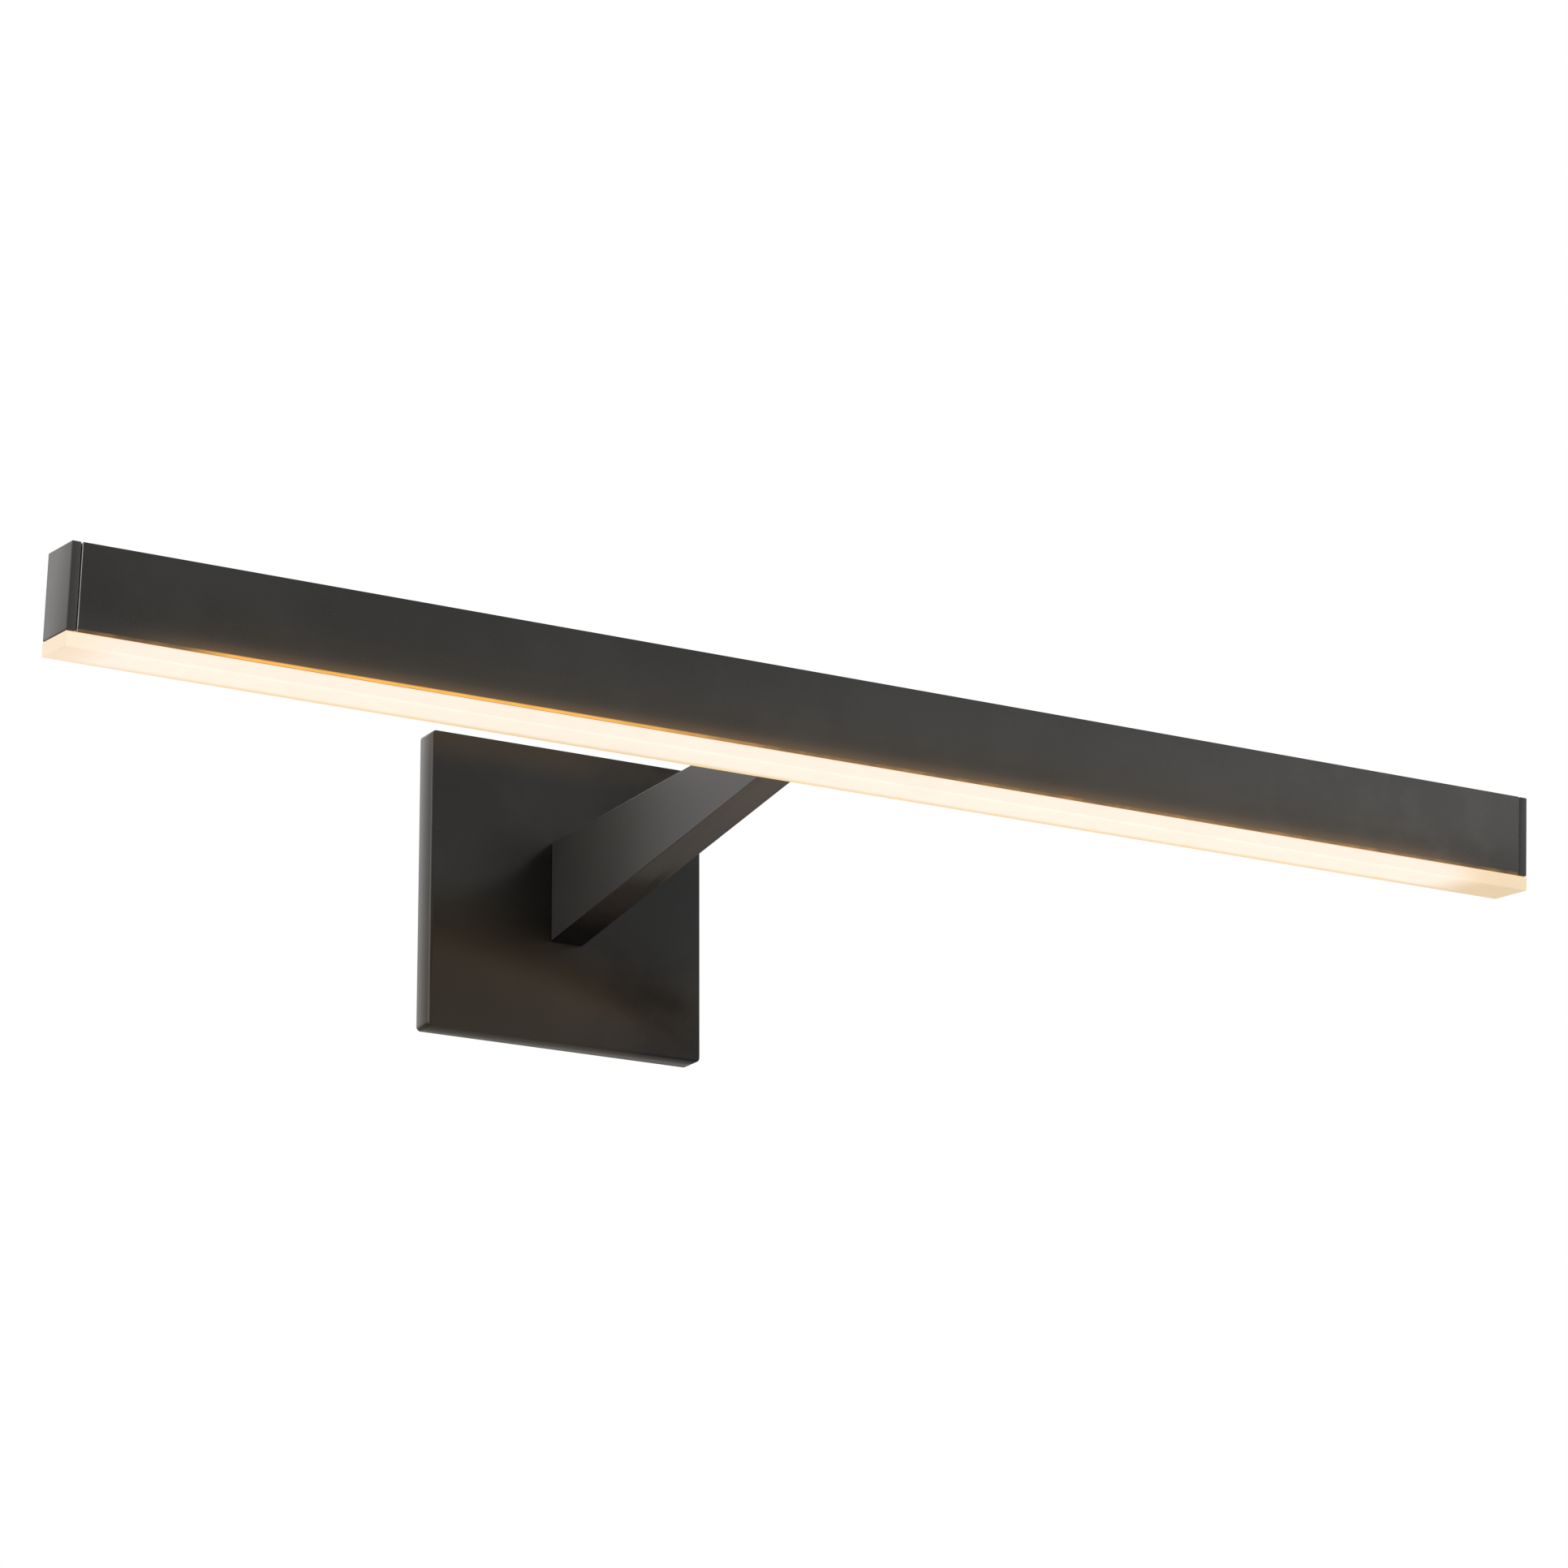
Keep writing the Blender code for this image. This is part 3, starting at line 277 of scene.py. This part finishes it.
def housing_coat():
    """The bar's coat, with the diffuser's light painted on its lower edge as emission, and bare metal at its cut
    ends.
    """
    shader, place, colour = coat_shader(
        "black_coat_bar", Shader.bar_place, 0.30, (0.0180, 0.0174, 0.0160), (0.0255, 0.0247, 0.0228))
    x, y, z = shader.split(place)
    along = shader.math("ABSOLUTE", x)
    smears = shader.ramp(shader.noise(place, 70.0, 4.0, 0.6), 0.42, 0.68, 0.35, 1.0)
    handled = shader.times(smears, shader.ramp(x, 0.060, 0.280, 0.0, 0.8))
    colour = shader.mix(handled, colour, (0.044, 0.042, 0.038))

    cut_edge = shader.ramp(along, HOUSING_END - 0.00034, HOUSING_END - 0.00018)
    ragged = shader.noise(shader.stretched(place, (0.0, 1.0, 1.0)), 420.0, 3.0, 0.7)
    bare = shader.times(cut_edge, shader.ramp(ragged, 0.34, 0.46))
    mostly_left = shader.ramp(x, -0.29, -0.30, 0.12, 1.0)
    bare = shader.times(bare, mostly_left)
    front_edge = shader.ramp(y, BAR_FRONT + 0.0012, BAR_FRONT + 0.0008)
    bare = shader.times(bare, front_edge)
    shader.set("Base Color", shader.mix(bare, colour, (0.86, 0.86, 0.84)))
    shader.set("Metallic", bare)

    # Painted light: the diffuser's warm glow on the bar's lower front edge, given as emission.
    lift = shader.math("SUBTRACT", z, BAR_BOTTOM)
    spill = shader.math("POWER", shader.ramp(lift, 0.0100, -0.0010), 2.6)
    inward = shader.ramp(along, BAR_HALF - 0.006, BAR_HALF - 0.060)
    lip = shader.ramp(lift, 0.00115, 0.00060)
    lit = shader.times(shader.ramp(x, -0.268, -0.240), shader.ramp(x, -0.020, -0.110))
    broken = shader.noise(shader.stretched(place, (1.0, 0.0, 0.0)), 60.0, 3.0, 0.6)
    lip_light = shader.math("ADD", shader.times(lit, 0.80), shader.ramp(broken, 0.35, 0.70, 0.03, 0.20))
    front_face = shader.ramp(y, BAR_FRONT + 0.0009, BAR_FRONT + 0.0005)
    warm = shader.mix(shader.times(lip, lip_light), BLACK, (0.95, 0.45, 0.055))
    glow = shader.mix(shader.times(spill, inward), BLACK, (0.105, 0.058, 0.021))
    faint = shader.times(shader.ramp(lift, 0.0220, 0.0), inward)
    haze = shader.mix(faint, BLACK, (0.0135, 0.0075, 0.0022))
    light = shader.vector_math("ADD", warm, shader.vector_math("ADD", glow, haze))
    shader.set("Emission Color", shader.mix(front_face, BLACK, light))
    shader.set("Emission Strength", 1.0)
    return shader.material


# --- diffuser --------------------------------------------------------------------------------

def diffuser_frost():
    """Frosted acrylic lit from inside: near white in the middle, dimmer and warmer at its edges."""
    shader = Shader("frosted_acrylic", (0.55, 0.50, 0.43), 0.42)
    place = shader.bar_place()
    x, y, z = shader.split(place)
    from_end = shader.math("SUBTRACT", BAR_HALF, shader.math("ABSOLUTE", x))
    from_back = shader.math("SUBTRACT", BAR_BACK, y)
    from_top = shader.math("SUBTRACT", DIFFUSER_TOP, z)

    brighter_left = shader.ramp(x, 0.2, -0.2, 0.0, 0.017)
    length_way = shader.ramp(shader.math("ADD", from_end, brighter_left), 0.016, 0.042)
    depth_way = shader.ramp(from_back, 0.0006, 0.0066)
    core = shader.times(length_way, depth_way)
    cloudy = shader.noise(place, 75.0, 2.0)
    core = shader.times(core, shader.ramp(cloudy, 0.25, 0.75, 0.94, 1.0))

    left_end, along, right_end = (0.60, 0.455, 0.325), (0.585, 0.380, 0.125), (0.47, 0.328, 0.168)
    edge_colour = shader.mix(shader.ramp(x, -0.300, -0.220), left_end, along)
    edge_colour = shader.mix(shader.ramp(x, 0.220, 0.295), edge_colour, right_end)
    underside = shader.ramp(from_top, 0.0044, 0.0052)
    bright = shader.mix(underside, (0.69, 0.505, 0.438), (0.70, 0.615, 0.530))
    light = shader.mix(core, edge_colour, bright)
    end_face = shader.ramp(from_end, 0.00012, 0.00004)
    light = shader.mix(end_face, light, (0.40, 0.290, 0.175))
    top_edge_way = shader.ramp(from_top, 0.0, 0.0007, 0.55, 1.0)
    shader.set("Emission Color", shader.mix(top_edge_way, (0.60, 0.30, 0.07), light))
    shader.set("Emission Strength", 1.0)

    frost = shader.noise(place, 2600.0, 2.0, 0.6)
    shader.set("Roughness", shader.ramp(frost, 0.3, 0.7, 0.38, 0.50))
    shader.set("Normal", shader.bump(frost, 0.0000015))
    shader.set("Base Color", shader.mix(cloudy, (0.50, 0.455, 0.385), (0.58, 0.53, 0.455)))
    return shader.material


# --- hardware --------------------------------------------------------------------------------

def brushed_metal(name, colour, roughness, stretch, tint):
    """Rolled or turned metal with fine lines along the stretch's small axis and faint staining."""
    shader = Shader(name, colour, roughness, 1.0)
    place = shader.place()
    lines = shader.noise(shader.stretched(place, stretch), 1.0, 3.0, 0.65)
    stain = shader.noise(place, 120.0, 4.0, 0.6)
    shader.set("Base Color", shader.mix(shader.ramp(stain, 0.35, 0.75), colour, tint))
    shader.set("Roughness", shader.ramp(lines, 0.3, 0.7, roughness - 0.07, roughness + 0.09))
    shader.set("Normal", shader.bump(lines, 0.000004))
    return shader.material


def zinc_plate():
    """Zinc plate: pale steel with the soft spangle and rainbow haze of a passivated coat."""
    shader = Shader("zinc_steel", (0.58, 0.58, 0.57), 0.30, 1.0)
    place = shader.place()
    cells = shader.node("ShaderNodeTexVoronoi", {"Vector": place, "Scale": 260.0})
    tone = shader.split(cells.outputs["Color"])[0]
    haze = shader.noise(place, 90.0, 3.0, 0.55)
    base = shader.mix(shader.ramp(tone, 0.0, 1.0), (0.56, 0.565, 0.57), (0.61, 0.61, 0.60))
    shader.set("Base Color", shader.mix(shader.ramp(haze, 0.50, 0.75), base, (0.62, 0.57, 0.44)))
    shader.set("Roughness", shader.ramp(tone, 0.0, 1.0, 0.24, 0.38))
    scratches = shader.noise(shader.stretched(place, (4000.0, 4000.0, 160.0)), 1.0, 2.0)
    shader.set("Normal", shader.bump(scratches, 0.000002))
    return shader.material


def moulded(name, colour, roughness, grain=1400.0, depth=0.000006, shade=0.86):
    """Moulded plastic: a fine spark-eroded grain and slow changes of gloss and tone."""
    shader = Shader(name, colour, roughness)
    place = shader.place()
    slow = shader.noise(place, 60.0, 3.0)
    fine = shader.noise(place, grain, 2.0, 0.6)
    darker = tuple(channel * shade for channel in colour)
    shader.set("Base Color", shader.mix(shader.ramp(slow, 0.3, 0.7), darker, colour))
    shader.set("Roughness", shader.ramp(fine, 0.25, 0.75, roughness - 0.05, roughness + 0.08))
    shader.set("Normal", shader.bump(fine, depth))
    return shader.material


def foam():
    """Closed-cell foam, with cut cells on its faces and painted shade in the cells' hollows."""
    shader = Shader("gasket_foam", (0.035, 0.035, 0.036), 0.85)
    place = shader.place()
    cells = shader.node("ShaderNodeTexVoronoi", {"Vector": place, "Scale": 2200.0})
    hollow = shader.ramp(cells.outputs["Distance"], 0.10, 0.45)
    # Painted shade: the cell hollows are darker than the cut cell walls.
    shader.set("Base Color", shader.mix(hollow, (0.012, 0.012, 0.012), (0.050, 0.050, 0.052)))
    shader.set("Roughness", shader.ramp(hollow, 0.0, 1.0, 0.92, 0.72))
    shader.set("Normal", shader.bump(hollow, 0.00006))
    return shader.material


def circuit_board():
    """White solder mask over faint copper runs, with yellow phosphor on the packages below it."""
    shader = Shader("white_board", (0.82, 0.82, 0.79), 0.35)
    place = shader.bar_place()
    _, y, z = shader.split(place)
    package = shader.ramp(z, BOARD_UNDER + 0.00002, BOARD_UNDER - 0.00005)
    rows = shader.ramp(shader.math("SINE", shader.times(y, 2600.0)), 0.55, 0.75)
    breaks = shader.ramp(shader.noise(shader.stretched(place, (14.0, 300.0, 1.0)), 1.0), 0.45, 0.55)
    runs = shader.times(rows, breaks)
    mask = shader.mix(runs, (0.84, 0.84, 0.81), (0.66, 0.68, 0.63))
    shader.set("Base Color", shader.mix(package, mask, (0.90, 0.66, 0.16)))
    shader.set("Roughness", shader.ramp(runs, 0.0, 1.0, 0.38, 0.30))
    shader.set("Normal", shader.bump(runs, 0.00003))
    shader.set("Emission Color", shader.mix(package, BLACK, (1.0, 0.80, 0.52)))
    shader.set("Emission Strength", 2.0)
    return shader.material


def blackened_steel():
    """Steel with a black oxide finish, rubbed lighter in patches."""
    shader = Shader("black_steel", (0.030, 0.030, 0.032), 0.33, 0.75)
    place = shader.place()
    patchy = shader.noise(place, 700.0, 3.0, 0.6)
    rubbed = shader.ramp(patchy, 0.45, 0.75)
    shader.set("Base Color", shader.mix(rubbed, (0.022, 0.022, 0.024), (0.060, 0.058, 0.055)))
    shader.set("Roughness", shader.ramp(patchy, 0.3, 0.7, 0.27, 0.42))
    shader.set("Normal", shader.bump(patchy, 0.000003))
    return shader.material


SLOT_MATERIALS = {
    "black_coat": arm_coat(),
    "black_steel": blackened_steel(),
    "zinc_steel": zinc_plate(),
    "machined_aluminium": brushed_metal(
        "machined_aluminium", (0.70, 0.70, 0.71), 0.30, (5000.0, 120.0, 5000.0), (0.60, 0.60, 0.60)),
    "earth_brass": brushed_metal(
        "earth_brass", (0.33, 0.44, 0.17), 0.30, (2500.0, 2500.0, 2500.0), (0.42, 0.42, 0.16)),
    "bare_copper": brushed_metal(
        "bare_copper", (0.76, 0.36, 0.20), 0.28, (900.0, 5000.0, 900.0), (0.52, 0.24, 0.14)),
    "black_rubber": moulded("black_rubber", (0.020, 0.020, 0.021), 0.68, 1800.0, 0.00001, 0.7),
    "gasket_foam": foam(),
    "nylon": moulded("nylon", (0.74, 0.72, 0.66), 0.45),
    "connector_plastic": moulded("connector_plastic", (0.70, 0.69, 0.66), 0.30),
    "cable_sheath": moulded("cable_sheath", (0.022, 0.022, 0.023), 0.46, 2200.0, 0.000008, 0.75),
    "lead_insulation": moulded("lead_insulation", (0.50, 0.05, 0.035), 0.38),
    "white_board": circuit_board(),
    "driver_case": moulded("driver_case", (0.74, 0.74, 0.72), 0.48, 1000.0, 0.00001),
    "frosted_acrylic": diffuser_frost(),
}
CAP_MATERIAL = cap_coat()
NODE_MATERIALS = {
    "backplate": plate_coat(),
    "housing": housing_coat(),
    "end_cap_left": CAP_MATERIAL,
    "end_cap_right": CAP_MATERIAL,
}

WELD_DISTANCE = 0.000002
CAD_SHARP_ANGLE = math.radians(32)


def dress_cad_nodes():
    """Give each CAD node its material and smooth shading on its round faces."""
    for entry in frame["record"]["subparts"]:
        name = entry["node"]
        piece = frame["nodes"][name]
        material = NODE_MATERIALS.get(name, SLOT_MATERIALS[entry["material_slot"]])
        piece.data.materials.clear()
        piece.data.materials.append(material)
        if "custom_normal" in piece.data.attributes:
            piece.data.attributes.remove(piece.data.attributes["custom_normal"])
        piece.data.shade_smooth()
        weld = piece.modifiers.new("Weld", "WELD")
        weld.merge_threshold = WELD_DISTANCE
        split = piece.modifiers.new("Edge Split", "EDGE_SPLIT")
        split.split_angle = CAD_SHARP_ANGLE
        split.use_edge_sharp = False


# --- extra pieces ----------------------------------------------------------------------------

PIECE_SHARP_ANGLE = math.radians(35)


def add_piece(name, bm, slot, body=None):
    """Turn a bmesh into a visible piece, riding on the body if one is given."""
    bmesh.ops.recalc_face_normals(bm, faces=bm.faces)
    mesh = bpy.data.meshes.new(name)
    bm.to_mesh(mesh)
    bm.free()
    mesh.shade_smooth()
    mesh.set_sharp_from_angle(angle=PIECE_SHARP_ANGLE)
    mesh.materials.append(SLOT_MATERIALS[slot])
    piece = bpy.data.objects.new(name, mesh)
    bpy.context.scene.collection.objects.link(piece)
    if body:
        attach(piece, body)
    return piece


def turned_along_y(profile, centre, segments=24):
    """A closed (radius, y) profile turned about a line along Y through the centre."""
    bm = bmesh.new()
    rings = []
    for radius, y in profile:
        ring = []
        for index in range(segments):
            angle = 2 * math.pi * index / segments
            ring.append(bm.verts.new((
                centre.x + radius * math.cos(angle), y, centre.z + radius * math.sin(angle))))
        rings.append(ring)
    for first, second in zip(rings, rings[1:] + rings[:1]):
        for index in range(segments):
            after = (index + 1) % segments
            bm.faces.new((first[index], first[after], second[after], second[index]))
    return bm


def build_hinge_sleeve():
    """The soft sleeve that carries the cable through the tilt axis."""
    inner, outer, reach, rings = 0.00155, 0.00190, 0.0036, 14
    steps = [-reach + 2 * reach * index / rings for index in range(rings + 1)]
    outside = [(outer, PIVOT.y + step) for step in steps]
    inside = [(inner, PIVOT.y + step) for step in reversed(steps)]
    sleeve = add_piece("hinge_cable_sleeve", turned_along_y(outside + inside, PIVOT), "black_rubber")
    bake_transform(sleeve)


def build_connector_levers():
    """Two lift levers on the connector's wall side, over its ports."""
    low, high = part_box("terminal_block")
    port = (high.z - low.z) / 2
    half, edge = 0.0026, 0.00025
    back = high.y + 0.0011
    for index in (0, 1):
        middle = low.z + port * (index + 0.5)
        profile = [
            (high.x - 0.0015, high.y - 0.0004),
            (low.x + 0.0035, high.y - 0.0004),
            (low.x + 0.0015, high.y + 0.0007),
            (low.x + 0.0022, back),
            (high.x - 0.0045, back - 0.0002),
            (high.x - 0.0015, high.y + 0.0004),
        ]
        bm = bmesh.new()
        face = bm.faces.new([bm.verts.new((x, y, middle - half)) for x, y in profile])
        raised = bmesh.ops.extrude_face_region(bm, geom=[face])
        tops = [item for item in raised["geom"] if isinstance(item, bmesh.types.BMVert)]
        bmesh.ops.translate(bm, vec=(0, 0, 2 * half), verts=tops)
        bmesh.ops.bevel(bm, geom=bm.edges[:], offset=edge, segments=2, affect="EDGES", profile=0.5)
        add_piece(f"connector_lever_{index + 1}", bm, "lead_insulation", "wall_mount")


# --- stage, light and camera -----------------------------------------------------------------

FLOOR_Z = -1.9                         # the light hangs a little above head height
FLOOR_REACH = 40.0
WALL_LINE = 0.3                        # the front half of the floor ends here

# Soft boxes round the light: which way each lies, where it starts and is full, and its brightness
SOFT_BOXES = (
    ((-0.55, 0.78, 0.30), 0.40, 1.0, 0.38),
    ((0.80, -0.55, -0.06), 0.66, 1.0, 0.70),
    ((-0.83, -0.48, 0.30), 0.955, 0.995, 2.6),
)
TINT_BELOW = (1.08, 1.0, 0.90)
TINT_ABOVE = (1.0, 0.985, 0.965)

LAMP_LENGTH = 0.56
LAMP_WIDTH = 0.014
LAMP_DROP = 0.0060                     # below the diffuser's top, so just under its lit face
LAMP_COLOUR = (1.0, 0.60, 0.30)
LAMP_POWER = 0.12

CAMERA_AT = (-0.97539, -1.86805, -0.60276)
CAMERA_YAW = math.radians(30.053)      # turned right from straight at the wall
CAMERA_PITCH = math.radians(17.199)    # upwards
CAMERA_ROLL = math.radians(-0.292)
CAMERA_LENS = 126.94                   # mm
CAMERA_SENSOR = 36.0                   # mm


def floor_half(name, near, far, material):
    mesh = bpy.data.meshes.new(name)
    corners = [
        (-FLOOR_REACH, near, FLOOR_Z),
        (FLOOR_REACH, near, FLOOR_Z),
        (FLOOR_REACH, far, FLOOR_Z),
        (-FLOOR_REACH, far, FLOOR_Z),
    ]
    mesh.from_pydata(corners, [], [(0, 1, 2, 3)])
    mesh.materials.append(material)
    floor = bpy.data.objects.new(name, mesh)
    bpy.context.scene.collection.objects.link(floor)
    return floor


def build_floor():
    """A pale floor. The half behind the wall line is a backdrop, which lights nothing."""
    shader = Shader("studio_floor", (0.86, 0.86, 0.85), 0.6)
    grain = shader.noise(shader.place(), 3.0, 3.0)
    shader.set("Base Color", shader.mix(grain, (0.84, 0.84, 0.83), (0.88, 0.88, 0.87)))
    floor_half("studio_floor", -FLOOR_REACH, WALL_LINE, shader.material)
    behind = floor_half("studio_floor_back", WALL_LINE, FLOOR_REACH, shader.material)
    behind.visible_diffuse = False
    behind.visible_glossy = False
    behind.visible_transmission = False
    behind.visible_shadow = False


def build_world():
    """A white studio: brightest towards the wall, with soft boxes, and a plain white backdrop."""
    world = bpy.data.worlds.new("studio")
    bpy.context.scene.world = world
    world.use_nodes = True
    sky = NodeTree(world.node_tree)
    background = sky.tree.nodes["Background"]
    way = sky.node("ShaderNodeTexCoord").outputs["Generated"]

    def towards(direction):
        """1 straight in that direction, 0 to its side and -1 away from it."""
        inputs = {0: way, 1: Vector(direction).normalized()}
        return sky.node("ShaderNodeVectorMath", inputs, operation="DOT_PRODUCT").outputs["Value"]

    total = sky.ramp(towards((0, 1, 0)), -0.6, 0.3, 0.55, 1.0)
    for direction, begins, full, brightness in SOFT_BOXES:
        box = sky.ramp(towards(direction), begins, full, 0.0, brightness)
        total = sky.math("ADD", total, box)
    above = sky.ramp(towards((0, 0, 1)), -0.20, 0.20, 0.30, 1.0)
    total = sky.times(total, above)
    seen = sky.node("ShaderNodeLightPath").outputs["Is Camera Ray"]
    tint = sky.mix(above, TINT_BELOW, TINT_ABOVE)
    sky.put(background.inputs["Color"], sky.mix(seen, tint, WHITE))
    sky.put(background.inputs["Strength"], sky.mix_number(seen, total, 1.0))


def build_diffuser_light():
    """The warm light that the diffuser throws down, brighter than its own face looks."""
    lamp = bpy.data.lights.new("diffuser_light", "AREA")
    lamp.shape = "RECTANGLE"
    lamp.size = LAMP_LENGTH
    lamp.size_y = LAMP_WIDTH
    lamp.color = LAMP_COLOUR
    lamp.energy = LAMP_POWER
    light = bpy.data.objects.new("diffuser_light", lamp)
    bpy.context.scene.collection.objects.link(light)
    middle = Vector((0.0, BAR_BACK - BAR_DEPTH / 2, DIFFUSER_TOP - LAMP_DROP))
    lean = Matrix.Rotation(HEAD_TILT, 4, "X")
    light.matrix_world = Matrix.Translation(PIVOT + lean @ middle) @ lean
    light.visible_camera = False
    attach(light, "light_head")


def build_camera():
    """A long lens, low and to the left of the light, looking up at it."""
    camera_data = bpy.data.cameras.new("camera")
    camera_data.sensor_width = CAMERA_SENSOR
    camera_data.lens = CAMERA_LENS
    camera_data.clip_start = 0.05
    camera_data.clip_end = 30.0
    camera = bpy.data.objects.new("camera", camera_data)
    bpy.context.scene.collection.objects.link(camera)
    camera.matrix_world = (
        Matrix.Translation(CAMERA_AT)
        @ Matrix.Rotation(-CAMERA_YAW, 4, "Z")
        @ Matrix.Rotation(math.pi / 2 + CAMERA_PITCH, 4, "X")
        @ Matrix.Rotation(CAMERA_ROLL, 4, "Z"))
    bpy.context.scene.camera = camera


def main():
    scene = bpy.context.scene
    scene.view_settings.view_transform = "Standard"
    scene.view_settings.look = "None"
    dress_cad_nodes()
    build_hinge_sleeve()
    build_connector_levers()
    build_floor()
    build_world()
    build_diffuser_light()
    build_camera()


main()
